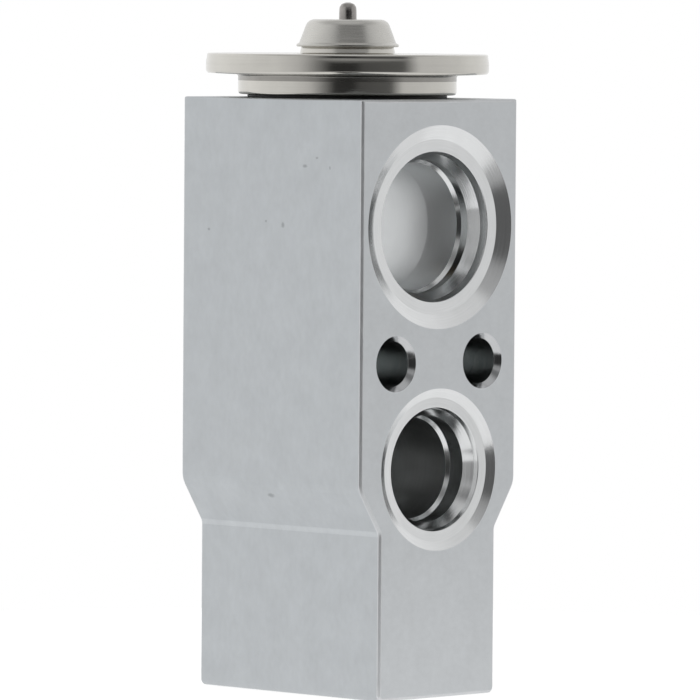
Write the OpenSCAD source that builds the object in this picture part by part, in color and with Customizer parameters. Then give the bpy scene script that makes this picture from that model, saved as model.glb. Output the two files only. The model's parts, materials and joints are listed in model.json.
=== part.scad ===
// Block-type thermostatic expansion valve with its power element on top.
// The part stands on its narrow foot. The evaporator side is the +X face, the pipe side is the -X face.

/* [Block] */
// Depth of the block from port face to port face
block_depth = 33.2; // [32:0.1:38]
// Width of the upper part of the block
block_width = 28.4; // [27.6:0.1:34]
// Height of the block
block_height = 77; // [76.6:0.1:84]
// Width of the narrow foot
foot_width = 21.2; // [19:0.1:25]
// Height of the foot up to where the taper starts
foot_height = 21.5; // [16:0.1:24]
// Height of the taper between the foot and the upper part
taper_height = 5.7; // [5:0.1:9]
// Bend radius at the top and bottom of the taper
taper_bend = 3; // [1:0.1:5]
// Radius of the long edges under the foot
foot_edge_radius = 0.8; // [0.3:0.1:1.5]
// Chamfer round the two port faces
face_chamfer = 0.35; // [0.1:0.05:0.6]
// How far the middle of the block lies in front of the power element's axis
axis_offset = 0.55; // [0:0.05:0.8]

/* [Ports] */
// Height of the suction passage
suction_height = 60.6; // [60:0.1:61]
// Height of the outlet to the evaporator
outlet_height = 29.4; // [29:0.1:30.5]
// Height of the liquid inlet
inlet_height = 15.5; // [14.8:0.1:15.8]
// Radius of the suction bore
suction_bore_r = 8.2; // [7.6:0.05:8.3]
// Radius of the outlet bore
outlet_bore_r = 6.5; // [6:0.05:6.6]
// Radius of the inlet bore
inlet_bore_r = 4.95; // [4.4:0.05:5.2]
// Radial step from a port's bore out to its seal wall
seal_step = 1.25; // [0.9:0.05:1.4]
// Radial width of the bright ring round the seal wall of the suction ports
suction_ring = 1.55; // [1:0.05:1.7]
// Radial width of the ring round the outlet's seal wall
outlet_ring = 1.3; // [0.9:0.05:1.5]
// Radial width of the ring round the liquid inlet's seal wall
inlet_ring = 1.2; // [0.8:0.05:1.4]
// How far a ring falls from its outer to its inner edge
ring_fall = 0.1; // [0.05:0.05:0.2]
// Radial width of the cone round the suction ports
suction_lead = 1.85; // [1.2:0.05:2.1]
// Radial width of the cone round the outlet
outlet_lead = 1.15; // [0.6:0.05:1.4]
// Radial width of the cone round the liquid inlet
inlet_lead = 1; // [0.5:0.05:1.2]
// Angle between a port's cone and the face
lead_angle = 27; // [15:1:32]
// Depth at which the tapered entry of the seal wall ends
entry_depth = 2.1; // [1.9:0.05:2.8]
// Radial taper of that entry
entry_taper = 0.25; // [0.1:0.05:0.4]
// Depth of the seal wall's floor
seal_depth = 4.8; // [4:0.1:5.2]
// Chamfer at the mouth of a port's bore
mouth_chamfer = 0.35; // [0.1:0.05:0.6]
// How far the outlet bore runs past the middle of the block
outlet_overrun = 3; // [2.5:0.1:3.6]

/* [Bolt holes] */
// Height of the two through holes and of the stud hole
bolt_height = 43.2; // [42.9:0.1:43.6]
// Distance between the two through holes
bolt_spacing = 15.8; // [15.2:0.1:17]
// Radius of a through hole
bolt_hole_r = 2.9; // [2.6:0.05:3.2]
// Chamfer of the through holes and of the stud hole
hole_chamfer = 0.7; // [0.3:0.05:0.9]
// Radius of the tapped stud hole on the pipe side
stud_hole_r = 2.55; // [2.1:0.05:3]
// Depth of the tapped stud hole
stud_hole_depth = 10; // [6:0.1:11]

/* [Power element] */
// Radius of the wide disc
disc_r = 18.4; // [17.4:0.1:20]
// Thickness of each shell at the disc's rim
rim_thickness = 1.3; // [1.1:0.05:1.6]
// Rounding of the rim's upper edge
rim_round = 0.9; // [0.4:0.05:1]
// How far the rim's lower edge tapers in
rim_taper = 1.6; // [0.5:0.1:1.8]
// Outer radius of the cup under the disc
cup_r = 14.2; // [13.8:0.1:14.8]
// Height of the cup from the seal to the disc
cup_height = 2.5; // [2.2:0.1:3]
// Rounding of the cup's lower edge
cup_round = 1.1; // [0.5:0.05:1.2]
// Wall of the cup
cup_wall = 1; // [0.8:0.05:1.2]
// Thickness of the seal under the cup
gasket_thickness = 0.4; // [0.3:0.05:1.2]
// Outer radius of the seal under the cup
gasket_r = 13; // [12.4:0.1:13.4]
// Radius of the threaded neck
neck_r = 11; // [10.8:0.05:11.4]
// Length of the neck below the top of the block
neck_length = 6.6; // [5:0.1:7.2]
// Wall of the neck
neck_wall = 2.4; // [1.6:0.1:3]
// Gap between the neck's lower end and the shoulder under it
neck_relief = 0.4; // [0.2:0.05:0.8]
// Radius of the chamber under the neck
chamber_r = 10.3; // [9.8:0.05:10.4]
// How far the chamber's floor lies below the suction bore
chamber_drop = 0.3; // [0.1:0.05:0.5]
// Thickness of the diaphragm
diaphragm_thickness = 0.2; // [0.15:0.05:0.3]
// Height of the gas space over the diaphragm
gas_space = 0.55; // [0.45:0.05:0.7]
// Radius of the gas space
gas_space_r = 13.4; // [13:0.1:14]
// Radius of the raised seat on the disc
cap_seat_r = 6; // [5.6:0.05:6.1]
// Height of the raised seat
cap_seat_height = 0.9; // [0.5:0.05:1.4]
// Radius of the cap's lip
cap_r = 6.65; // [6.4:0.05:7]
// Height of the cap over its seat
cap_height = 3.55; // [3:0.05:4.5]
// Radius of the cap's rounded shoulder
cap_shoulder = 1.1; // [0.8:0.05:1.5]
// How far the cap's wall leans in, in degrees
cap_lean = 20; // [10:1:24]
// Wall of the cap
cap_wall = 0.6; // [0.4:0.05:0.8]
// Radius of the charge tube
tube_r = 1.15; // [1:0.05:1.5]
// How far the sealed end of the charge tube stands out of the cap
tube_stub = 2.2; // [1.5:0.05:3.5]

/* [Valve train] */
// Radius of the sensing rod
rod_r = 2.8; // [2.4:0.05:2.9]
// Height of the sensing rod's lower end
rod_foot = 40; // [39.9:0.1:40.4]
// Room under the sensing rod's lower end
rod_foot_room = 1; // [0.9:0.05:1.2]
// Outer radius of the thermal sleeve on the rod
sleeve_r = 3.5; // [3.3:0.05:3.9]
// Radius of the stopper under the diaphragm
stopper_r = 11.6; // [11:0.1:12]
// Thickness of the stopper's plate
stopper_thickness = 1.1; // [0.9:0.05:1.15]
// Radius of the stopper's hub
hub_r = 5; // [4.4:0.1:6]
// Radius of the push pin
pin_r = 1.1; // [0.9:0.05:1.2]
// Radius of the orifice
orifice_r = 1.8; // [1.6:0.05:1.9]
// Height of the valve seat
seat_height = 20.4; // [20.2:0.05:20.8]
// Radius of the ball
ball_r = 2.4; // [2.3:0.05:2.5]
// Depth of the round dish that holds the ball
dish_depth = 0.9; // [0.6:0.05:1.1]
// Radius of the ball carrier's plate
carrier_r = 4.2; // [3.8:0.05:4.3]
// Thickness of the ball carrier's plate
carrier_thickness = 1.5; // [1.3:0.05:1.7]
// Radius of the spigot under the carrier
spigot_r = 2.4; // [2:0.05:2.5]
// Length of the spigot
spigot_length = 2.2; // [1:0.1:2.8]
// Number of fingers on the damping spring
finger_count = 4; // [3:1:5]
// Sheet thickness of the damping spring
finger_sheet = 0.35; // [0.25:0.05:0.45]
// Width of the damping spring's fingers
finger_width = 1.8; // [1.2:0.1:2.4]
// Height of the damping spring's fingers
finger_height = 3; // [2:0.1:3.4]

/* [Rod seal] */
// Radius of the seal pocket round the rod
pocket_r = 4.4; // [4.2:0.05:4.6]
// Depth of the seal pocket below the chamber floor
pocket_depth = 4.6; // [4.4:0.05:4.9]
// Thickness of the backing washer
washer_thickness = 0.6; // [0.4:0.05:0.9]
// Thickness of the retaining ring
retainer_thickness = 0.5; // [0.3:0.05:0.6]
// Number of teeth on the retaining ring
retainer_teeth = 8; // [6:1:10]

/* [Spring and adjuster] */
// Radius of the spring chamber
spring_chamber_r = 5.4; // [5.3:0.05:5.6]
// Radius of the adjuster's thread
adjuster_r = 6; // [5.9:0.05:6.4]
// Depth of the threaded mouth for the adjuster
adjuster_mouth = 5.7; // [5.6:0.05:6]
// Height of the adjusting screw's lower face
adjuster_foot = 1.2; // [1:0.05:1.4]
// Length of the screw's threaded part
adjuster_thread = 3.5; // [3:0.05:3.6]
// Height of the whole adjusting screw
adjuster_length = 7.8; // [7.6:0.05:8.2]
// Width across the flats of the key socket
key_width = 5; // [4:0.5:5]
// Depth of the key socket
key_depth = 4.2; // [3:0.1:5]
// Section radius of the adjuster's seal ring
adjuster_ring_section = 0.7; // [0.6:0.05:0.75]
// Extra height of the seal ring's groove
groove_room = 0.2; // [0.1:0.05:0.3]
// Height of the land above that groove
groove_land = 0.8; // [0.5:0.05:1]
// Chamfer at the mouth for the adjuster
adjuster_chamfer = 0.5; // [0.2:0.05:0.8]
// Mean radius of the coil spring
coil_r = 3.7; // [3.6:0.05:3.8]
// Wire radius of the coil spring
wire_r = 0.5; // [0.4:0.05:0.55]
// Number of open turns of the coil spring
open_turns = 2.5; // [2:0.5:3]

/* [Clearances] */
// Radial clearance between a sliding or turning piece and its bore
running_gap = 0.06; // [0.03:0.01:0.09]
// Clearance between pieces that are pressed or screwed together
seated_gap = 0.03; // [0.02:0.01:0.04]
// Distance of the ball from its seat in the closed position
closed_gap = 0.05; // [0.03:0.01:0.08]

/* [Hidden] */
$fn = 96;

// Cutting tools run past the faces they open by this much
over = 1;
bend_steps = 5;

// Heights in the power element, from the top of the block upwards
cup_floor = block_height + gasket_thickness;
disc_floor = cup_floor + cup_height;
diaphragm_floor = disc_floor + rim_thickness;
diaphragm_top = diaphragm_floor + diaphragm_thickness;
disc_top = diaphragm_top + rim_thickness;
cap_floor = disc_top + cap_seat_height;
cap_top = cap_floor + cap_height;
gas_top = diaphragm_top + gas_space;

// Heights in the block, from the top downwards
neck_foot = block_height - neck_length;
neck_bore_floor = neck_foot - neck_relief;
chamber_floor = suction_height - suction_bore_r - chamber_drop;
pocket_floor = chamber_floor - pocket_depth;
rod_bore_floor = rod_foot - rod_foot_room;

// Ball and what stands under it
ball_centre = seat_height - closed_gap - sqrt(ball_r * ball_r - orifice_r * orifice_r);
carrier_top = ball_centre - ball_r + dish_depth;
carrier_floor = carrier_top - carrier_thickness;
damper_floor = carrier_floor - finger_sheet;
adjuster_top = adjuster_foot + adjuster_length;

// Rod seal
rod_ring_section = (pocket_r - rod_r - running_gap - seated_gap) / 2;
rod_ring_r = rod_r + running_gap + rod_ring_section;
washer_floor = pocket_floor + 2 * rod_ring_section + 2 * seated_gap;
retainer_floor = washer_floor + washer_thickness + seated_gap;

// Adjuster seal
ring_groove_r = spring_chamber_r - running_gap - 2 * adjuster_ring_section - seated_gap;
ring_groove_top = adjuster_top - groove_land;
ring_groove_floor = ring_groove_top - 2 * adjuster_ring_section - groove_room;

function unit(v) = v / norm(v);
function inward(d) = [-d[1], d[0]];

// Points of a rounded corner [y, z, radius] between its neighbours
function bend(before, corner, after) =
    let (
        p = [corner[0], corner[1]],
        r = corner[2],
        to_before = unit([before[0], before[1]] - p),
        to_after = unit([after[0], after[1]] - p),
        half = acos(to_before * to_after) / 2,
        centre = p + unit(to_before + to_after) * r / sin(half),
        first = unit(p + to_before * r / tan(half) - centre),
        last = unit(p + to_after * r / tan(half) - centre),
        sweep = 180 - 2 * half
    )
    r == 0 ? [p] : [
        for (i = [0:bend_steps])
            let (t = sweep * i / bend_steps)
            centre + r * (sin(sweep - t) * first + sin(t) * last) / sin(sweep)
    ];

// An outline from a list of rounded corners, counter-clockwise
function rounded(corners) =
    let (n = len(corners))
    [for (i = [0:n - 1]) each bend(corners[(i + n - 1) % n], corners[i], corners[(i + 1) % n])];

// The same outline drawn in by a distance
function inset(outline, by) =
    let (n = len(outline))
    [
        for (i = [0:n - 1])
            let (
                here = outline[i],
                a = inward(unit(here - outline[(i + n - 1) % n])),
                b = inward(unit(outline[(i + 1) % n] - here))
            )
            here + by * (a + b) / (1 + a * b)
    ];

// A bar along X with the outline in Y and Z and a chamfer at both ends
module chamfered_bar(outline, length, chamfer) {
    n = len(outline);
    wide = length / 2 - chamfer;
    rings = [[wide, outline], [length / 2, inset(outline, chamfer)]];
    points = [for (ring = rings) for (p = ring[1]) [ring[0], p[0], p[1]]];
    walls = [for (i = [0:n - 1]) let (j = (i + 1) % n) [i, n + i, n + j, j]];
    ends = [[for (i = [0:n - 1]) i], [for (i = [n - 1:-1:0]) n + i]];
    rotate([90, 0, 90])
        linear_extrude(height = 2 * wide, center = true)
            polygon(outline);
    for (side = [0, 1])
        mirror([side, 0, 0])
            polyhedron(points, concat(walls, ends));
}

// A cut from the +X face inwards, turned round the X axis; side -1 cuts from the -X face
module from_face(height, side) {
    translate([axis_offset + side * block_depth / 2, 0, height])
        rotate([0, side * 90, 0])
            children();
}

// A port for a tube with an O-ring collar, with its bore down to a depth
module port(bore_r, ring, lead, depth) {
    seal_r = bore_r + seal_step;
    entry_r = seal_r + entry_taper;
    ring_r = entry_r + ring;
    lead_depth = lead * tan(lead_angle);
    rotate_extrude()
        polygon([
            [0, over],
            [ring_r + lead + over / tan(lead_angle), over],
            [ring_r, -lead_depth],
            [entry_r, -lead_depth - ring_fall],
            [seal_r, -entry_depth],
            [seal_r, -seal_depth],
            [bore_r + mouth_chamfer, -seal_depth],
            [bore_r, -seal_depth - mouth_chamfer],
            [bore_r, -depth],
            [0, -depth]
        ]);
}

// A plain round hole with a chamfered mouth
module chamfered_hole(r, depth) {
    rotate_extrude()
        polygon([
            [0, over],
            [r + hole_chamfer + over, over],
            [r, -hole_chamfer],
            [r, -depth],
            [0, -depth]
        ]);
}

// An upright hole between two heights
module upright(r, low, high) {
    translate([0, 0, low])
        cylinder(r = r, h = high - low);
}

// An upright ring between two heights
module tube(outer, inner, low, high) {
    difference() {
        upright(outer, low, high);
        upright(inner, low - over, high + over);
    }
}

// A round seal ring
module o_ring(mean_r, section_r, height) {
    translate([0, 0, height])
        rotate_extrude()
            translate([mean_r, 0])
                circle(r = section_r, $fn = 48);
}

module block_outline_bar() {
    bottom = foot_width / 2;
    top = block_width / 2;
    shoulder = foot_height + taper_height;
    translate([axis_offset, 0, 0])
        chamfered_bar(
            rounded([
                [-bottom, 0, foot_edge_radius],
                [bottom, 0, foot_edge_radius],
                [bottom, foot_height, taper_bend],
                [top, shoulder, taper_bend],
                [top, block_height, 0],
                [-top, block_height, 0],
                [-top, shoulder, taper_bend],
                [-bottom, foot_height, taper_bend]
            ]),
            block_depth,
            face_chamfer
        );
}

module valve_body() {
    color("silver")
        difference() {
            block_outline_bar();
            // Suction passage, open at both port faces
            for (side = [-1, 1])
                from_face(suction_height, side)
                    port(suction_bore_r, suction_ring, suction_lead, block_depth / 2 + over);
            // Outlet and liquid inlet
            from_face(outlet_height, 1)
                port(outlet_bore_r, outlet_ring, outlet_lead, block_depth / 2 + outlet_overrun);
            from_face(inlet_height, -1)
                port(inlet_bore_r, inlet_ring, inlet_lead, block_depth / 2);
            // Through holes and the stud hole
            for (side = [-1, 1], across = [-1, 1])
                translate([0, across * bolt_spacing / 2, 0])
                    from_face(bolt_height, side)
                        chamfered_hole(bolt_hole_r, block_depth / 2 + over);
            from_face(bolt_height, -1)
                chamfered_hole(stud_hole_r, stud_hole_depth);
            // Neck thread, chamber, seal pocket and rod bore
            upright(neck_r, neck_bore_floor, block_height + over);
            upright(chamber_r, chamber_floor, block_height);
            upright(pocket_r, pocket_floor, chamber_floor + over);
            upright(rod_r + running_gap, rod_bore_floor, pocket_floor + over);
            upright(pin_r + running_gap, outlet_height, rod_bore_floor + over);
            // Orifice, spring chamber and the mouth for the adjuster
            upright(orifice_r, seat_height - over, outlet_height);
            upright(spring_chamber_r, adjuster_mouth - over, seat_height);
            upright(adjuster_r, -over, adjuster_mouth);
            translate([0, 0, -over])
                cylinder(
                    r1 = adjuster_r + adjuster_chamfer + over,
                    r2 = adjuster_r,
                    h = adjuster_chamfer + over
                );
        }
}

module element_gasket() {
    color([0.16, 0.16, 0.16])
        tube(gasket_r, neck_r + seated_gap, block_height, cup_floor);
}

// Cup, rim flange and threaded neck, turned in one piece
module lower_shell() {
    outer_neck = neck_r - seated_gap;
    neck_bevel = 0.5;
    taper_share = 0.6;
    arc = [for (a = [0:15:90]) [
        cup_r - cup_round + cup_round * sin(a),
        cup_floor + cup_round - cup_round * cos(a)
    ]];
    color([0.72, 0.71, 0.69])
        rotate_extrude()
            polygon(concat(
                [
                    [outer_neck - neck_wall, neck_foot],
                    [outer_neck - neck_bevel, neck_foot],
                    [outer_neck, neck_foot + neck_bevel],
                    [outer_neck, cup_floor]
                ],
                arc,
                [
                    [cup_r, disc_floor],
                    [disc_r - rim_taper, disc_floor],
                    [disc_r, disc_floor + rim_thickness * taper_share],
                    [disc_r, diaphragm_floor],
                    [cup_r - cup_wall, diaphragm_floor],
                    [cup_r - cup_wall, cup_floor + cup_wall],
                    [outer_neck - neck_wall, cup_floor + cup_wall]
                ]
            ));
}

// Thin disc with round corrugations, clamped between the two shells
module diaphragm() {
    wave_count = 3;
    wave_start = 8.2;
    wave_pitch = 1.5;
    wave_room = 0.1;
    wave_rise = gas_space - diaphragm_thickness - wave_room;
    steps = 10;
    crest = [
        for (i = [0:wave_count * steps])
            let (t = i / steps)
            [wave_start + wave_pitch * t, wave_rise * (1 - cos(360 * t)) / 2]
    ];
    edge = disc_r - rim_round;
    upper = [for (p = crest) [p[0], diaphragm_top + p[1]]];
    lower = [for (i = [len(crest) - 1:-1:0]) [crest[i][0], diaphragm_floor + crest[i][1]]];
    color([0.8, 0.8, 0.78])
        rotate_extrude()
            polygon(concat(
                [[0, diaphragm_floor], [0, diaphragm_top]],
                upper,
                [[edge, diaphragm_top], [edge, diaphragm_floor]],
                lower
            ));
}

// Wide pressed disc with the raised seat for the cap
module upper_shell() {
    seat_fillet = 0.35;
    arc = [for (a = [0:15:90]) [
        disc_r - rim_round + rim_round * cos(a),
        disc_top - rim_round + rim_round * sin(a)
    ]];
    color([0.72, 0.71, 0.68])
        rotate_extrude()
            polygon(concat(
                [[gas_space_r, gas_top], [gas_space_r, diaphragm_top], [disc_r, diaphragm_top]],
                arc,
                [
                    [cap_seat_r + seat_fillet, disc_top],
                    [cap_seat_r, disc_top + seat_fillet],
                    [cap_seat_r, cap_floor],
                    [tube_r + seated_gap, cap_floor],
                    [tube_r + seated_gap, gas_top]
                ]
            ));
}

// Drawn cap with a lip, a leaning wall, a rounded shoulder and a flat top
module charge_cap() {
    lip_height = 0.4;
    lip_step = 0.4;
    waist = cap_r - lip_step;
    centre_height = cap_top - cap_shoulder;
    // Length of the leaning wall between its foot and the shoulder's arc
    wall_length = (centre_height + cap_shoulder * sin(cap_lean) - cap_floor - lip_height) / cos(cap_lean);
    centre_r = waist - cap_shoulder * cos(cap_lean) - wall_length * sin(cap_lean);
    inner_shoulder = cap_shoulder - cap_wall;
    inner_length = (centre_height + inner_shoulder * sin(cap_lean) - cap_floor) / cos(cap_lean);
    bow = (90 - cap_lean) / bend_steps;
    outer = [for (a = [cap_lean:bow:90]) [
        centre_r + cap_shoulder * cos(a),
        centre_height + cap_shoulder * sin(a)
    ]];
    inner = [for (a = [90:-bow:cap_lean]) [
        centre_r + inner_shoulder * cos(a),
        centre_height + inner_shoulder * sin(a)
    ]];
    inner_foot = centre_r + inner_shoulder * cos(cap_lean) + inner_length * sin(cap_lean);
    color([0.7, 0.69, 0.67])
        rotate_extrude()
            polygon(concat(
                [
                    [inner_foot, cap_floor],
                    [cap_r, cap_floor],
                    [cap_r, cap_floor + lip_height],
                    [waist, cap_floor + lip_height]
                ],
                outer,
                [
                    [tube_r + seated_gap, cap_top],
                    [tube_r + seated_gap, cap_top - cap_wall]
                ],
                inner
            ));
}

// Filling tube, closed at its round upper end
module charge_tube() {
    round_end = 0.8;
    tip = cap_top + tube_stub;
    arc = [for (a = [0:15:90]) [
        tube_r - round_end + round_end * cos(a),
        tip - round_end + round_end * sin(a)
    ]];
    bore = tube_r / 2;
    color([0.25, 0.24, 0.23])
        rotate_extrude()
            polygon(concat(
                [[bore, gas_top], [tube_r, gas_top]],
                arc,
                [[0, tip], [0, cap_top], [bore, cap_top]]
            ));
}

// Plate that carries the diaphragm, with a hub for the rod
module diaphragm_stopper() {
    top = diaphragm_floor - closed_gap;
    plate_floor = top - stopper_thickness;
    hub_length = 4;
    color([0.78, 0.72, 0.45])
        difference() {
            union() {
                upright(stopper_r, plate_floor, top);
                upright(hub_r, plate_floor - hub_length, top);
            }
            upright(rod_r + seated_gap, plate_floor - hub_length - over, plate_floor);
        }
}

module sensing_rod() {
    plate_floor = diaphragm_floor - closed_gap - stopper_thickness;
    bevel = 0.3;
    color([0.8, 0.8, 0.82])
        rotate_extrude()
            polygon([
                [0, rod_foot],
                [rod_r - bevel, rod_foot],
                [rod_r, rod_foot + bevel],
                [rod_r, plate_floor - bevel],
                [rod_r - bevel, plate_floor],
                [0, plate_floor]
            ]);
}

module rod_sleeve() {
    margin = 1.4;
    color([0.12, 0.12, 0.12])
        tube(
            sleeve_r,
            rod_r + seated_gap,
            chamber_floor + margin,
            suction_height + suction_bore_r - margin
        );
}

// Toothed ring that grips the wall of the seal pocket
module retaining_ring() {
    rod_room = 0.5;
    slot_width = 0.5;
    slot_depth = 0.65;
    retainer_top = retainer_floor + retainer_thickness;
    color([0.6, 0.6, 0.62])
        difference() {
            tube(pocket_r - seated_gap, rod_r + rod_room, retainer_floor, retainer_top);
            for (i = [0:retainer_teeth - 1])
                rotate([0, 0, i * 360 / retainer_teeth])
                    translate([pocket_r - slot_depth, -slot_width / 2, retainer_floor - over])
                        cube([slot_depth + over, slot_width, retainer_thickness + 2 * over]);
        }
}

module backing_washer() {
    color([0.75, 0.75, 0.77])
        tube(
            pocket_r - seated_gap,
            rod_r + running_gap,
            washer_floor,
            washer_floor + washer_thickness
        );
}

module rod_o_ring() {
    color([0.14, 0.14, 0.14])
        o_ring(rod_ring_r, rod_ring_section, pocket_floor + rod_ring_section + seated_gap);
}

module push_pin() {
    bevel = 0.25;
    foot = ball_centre + ball_r;
    color([0.82, 0.82, 0.84])
        rotate_extrude()
            polygon([
                [0, foot],
                [pin_r - bevel, foot],
                [pin_r, foot + bevel],
                [pin_r, rod_foot],
                [0, rod_foot]
            ]);
}

module valve_ball() {
    color([0.85, 0.85, 0.87])
        translate([0, 0, ball_centre])
            sphere(r = ball_r);
}

// Plate with a round dish for the ball and a spigot for the spring
module ball_carrier() {
    color([0.74, 0.66, 0.38])
        difference() {
            union() {
                upright(carrier_r, carrier_floor, carrier_top);
                upright(spigot_r, carrier_floor - spigot_length, carrier_top);
            }
            translate([0, 0, ball_centre])
                sphere(r = ball_r + seated_gap);
        }
}

// Flat ring under the carrier with fingers that rub along the chamber wall
module damping_spring() {
    reach = spring_chamber_r - running_gap;
    finger_top = damper_floor + finger_height;
    color([0.68, 0.68, 0.7])
        difference() {
            union() {
                upright(carrier_r, damper_floor, carrier_floor);
                for (i = [0:finger_count - 1])
                    rotate([0, 0, (i + 0.5) * 360 / finger_count])
                        intersection() {
                            upright(reach, damper_floor, finger_top);
                            translate([0, -finger_width / 2, damper_floor])
                                cube([reach + over, finger_width, finger_height]);
                        }
            }
            upright(spigot_r + seated_gap, damper_floor - over, carrier_floor + over);
            // The bent-up fingers are only as thick as the sheet
            upright(reach - finger_sheet, carrier_floor, finger_top + over);
        }
}

// Coil spring with one closed turn at each end and both ends ground flat
module bias_spring() {
    low = adjuster_top;
    high = damper_floor;
    turns = open_turns + 2;
    wire_d = 2 * wire_r;
    sides = 8;
    steps_a_turn = 20;
    steps = turns * steps_a_turn;
    open_rise = high - low - 2 * wire_d;
    function rise(t) =
        t < 1 ? wire_d * t
        : t > turns - 1 ? high - low - wire_d * (turns - t)
        : wire_d + open_rise * (t - 1) / open_turns;
    points = [
        for (i = [0:steps])
            let (t = i / steps_a_turn, a = 360 * t)
            for (k = [0:sides - 1])
                let (b = 360 * k / sides, r = coil_r + wire_r * cos(b))
                [r * cos(a), r * sin(a), low + rise(t) + wire_r * sin(b)]
    ];
    walls = [
        for (i = [0:steps - 1])
            for (k = [0:sides - 1])
                let (m = (k + 1) % sides)
                [i * sides + k, (i + 1) * sides + k, (i + 1) * sides + m, i * sides + m]
    ];
    caps = [
        [for (k = [0:sides - 1]) k],
        [for (k = [sides - 1:-1:0]) steps * sides + k]
    ];
    color([0.62, 0.62, 0.64])
        intersection() {
            polyhedron(points, concat(walls, caps), convexity = 10);
            upright(coil_r + wire_d, low, high);
        }
}

// Screw plug with a key socket below and a seal groove above its thread
module adjusting_screw() {
    neck = spring_chamber_r - running_gap;
    thread = adjuster_r - running_gap;
    bevel = 0.5;
    color([0.76, 0.68, 0.4])
        difference() {
            rotate_extrude()
                polygon([
                    [0, adjuster_foot],
                    [thread - bevel, adjuster_foot],
                    [thread, adjuster_foot + bevel],
                    [thread, adjuster_foot + adjuster_thread],
                    [neck, adjuster_foot + adjuster_thread],
                    [neck, ring_groove_floor],
                    [ring_groove_r, ring_groove_floor],
                    [ring_groove_r, ring_groove_top],
                    [neck, ring_groove_top],
                    [neck, adjuster_top],
                    [0, adjuster_top]
                ]);
            upright(key_width / sqrt(3), adjuster_foot - over, adjuster_foot + key_depth, $fn = 6);
        }
}

module adjuster_o_ring() {
    color([0.14, 0.14, 0.14])
        o_ring(
            ring_groove_r + seated_gap + adjuster_ring_section,
            adjuster_ring_section,
            (ring_groove_floor + ring_groove_top) / 2
        );
}

valve_body();
element_gasket();
lower_shell();
diaphragm();
upper_shell();
charge_cap();
charge_tube();
diaphragm_stopper();
sensing_rod();
rod_sleeve();
retaining_ring();
backing_washer();
rod_o_ring();
push_pin();
valve_ball();
ball_carrier();
damping_spring();
bias_spring();
adjusting_screw();
adjuster_o_ring();
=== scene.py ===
import json
import math

import bmesh
import bpy
from mathutils import Matrix, Vector


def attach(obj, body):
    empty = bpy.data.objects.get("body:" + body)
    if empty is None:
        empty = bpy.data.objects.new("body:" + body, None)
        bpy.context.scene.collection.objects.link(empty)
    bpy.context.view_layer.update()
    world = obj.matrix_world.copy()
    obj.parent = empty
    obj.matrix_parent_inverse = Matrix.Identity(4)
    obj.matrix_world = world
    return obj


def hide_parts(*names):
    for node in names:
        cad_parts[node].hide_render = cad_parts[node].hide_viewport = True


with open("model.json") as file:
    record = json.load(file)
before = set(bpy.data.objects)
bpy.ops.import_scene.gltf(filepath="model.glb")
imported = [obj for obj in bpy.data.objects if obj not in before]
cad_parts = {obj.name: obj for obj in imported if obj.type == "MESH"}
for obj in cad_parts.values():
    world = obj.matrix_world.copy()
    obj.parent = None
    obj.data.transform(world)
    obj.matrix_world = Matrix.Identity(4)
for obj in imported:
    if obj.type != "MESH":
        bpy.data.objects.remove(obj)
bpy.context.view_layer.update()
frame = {"nodes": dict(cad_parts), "record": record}
print("frame loaded:", len(frame["nodes"]), "nodes")

mm = 0.001
scene = bpy.context.scene

cameraView = {
    "azimuth": 45.162,        # degrees, 0 looks along +Y
    "elevation": 2.677,
    "roll": 0.405,
    "distance": 0.9663,
    "target": (0.00083, 0, 0.044187),
    "lens": 382.0,
    "sensor": 36,
}


def placeCamera(view):
    az = math.radians(view["azimuth"])
    el = math.radians(view["elevation"])
    back = Vector((math.sin(az) * math.cos(el), -math.cos(az) * math.cos(el), math.sin(el)))
    data = bpy.data.cameras.new("photoCamera")
    data.lens = view["lens"]
    data.sensor_width = view["sensor"]
    data.clip_start = 0.05
    camera = bpy.data.objects.new("photoCamera", data)
    camera.location = Vector(view["target"]) + view["distance"] * back
    level = back.to_track_quat("Z", "Y").to_matrix()
    camera.rotation_euler = (level @ Matrix.Rotation(math.radians(view["roll"]), 3, "Z")).to_euler()
    scene.collection.objects.link(camera)
    scene.camera = camera


placeCamera(cameraView)
scene.view_settings.view_transform = "Standard"

studio = {
    "darkCentre": -33,        # azimuth of the dark end of the room, behind the camera, from +X
    # brightness by angle away from that centre, minus is clockwise
    "round": [
        (-180, 0.97), (-134, 1.0), (-94, 0.85), (-73, 0.8), (-52, 0.65), (-45, 0.48), (-38, 0.3),
        (-31, 0.15), (-25, 0.035), (-6, 0.035), (1, 0.09), (35, 0.12), (42, 0.4), (49, 0.7),
        (73, 0.73), (117, 0.88), (180, 0.97),
    ],
    # how much of that is left by height in degrees
    "fade": [(-90, 0.9), (-25, 0.93), (-5, 1.0), (35, 1.0), (65, 0.5), (90, 0.5)],
    # brightness of the dark end by height
    "front": [
        (-90, 0.8), (-60, 0.7), (-40, 0.55), (-24, 0.4), (-19, 0.035), (10, 0.03), (14, 0.12),
        (19, 0.34), (29, 0.42), (35, 0.24), (46, 0.2), (53, 0.36), (62, 0.55), (90, 0.65),
    ],
    "tableRadius": 0.128,
    "tableDrop": 0.00002,     # keeps the table clear of the block's underside
    "tableColour": (0.36, 0.36, 0.355, 1),
    "tableRough": 0.9, "tableShine": 0.1, "tableGlow": 0.74,
    # the table as the metal mirrors it, and its dark strip towards the camera
    "tableInMetal": 0.9,
    "stripInMetal": 0.06,
    "stripCentre": -45,       # azimuth from +X
    "stripHalf": (7, 13),     # degrees to either side where it starts and ends fading
    "stripFrom": (0.045, 0.06),     # distance from the middle where it sets in
    "lampAim": (0, 0, 0.04),
    "lamps": [
        # name, place, size, watts
        ("topSoftbox", (0.12, -0.10, 0.75), 0.55, 3.0),
        ("sideSoftbox", (-0.75, -0.35, 0.42), 0.5, 2.0),
    ],
}


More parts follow.
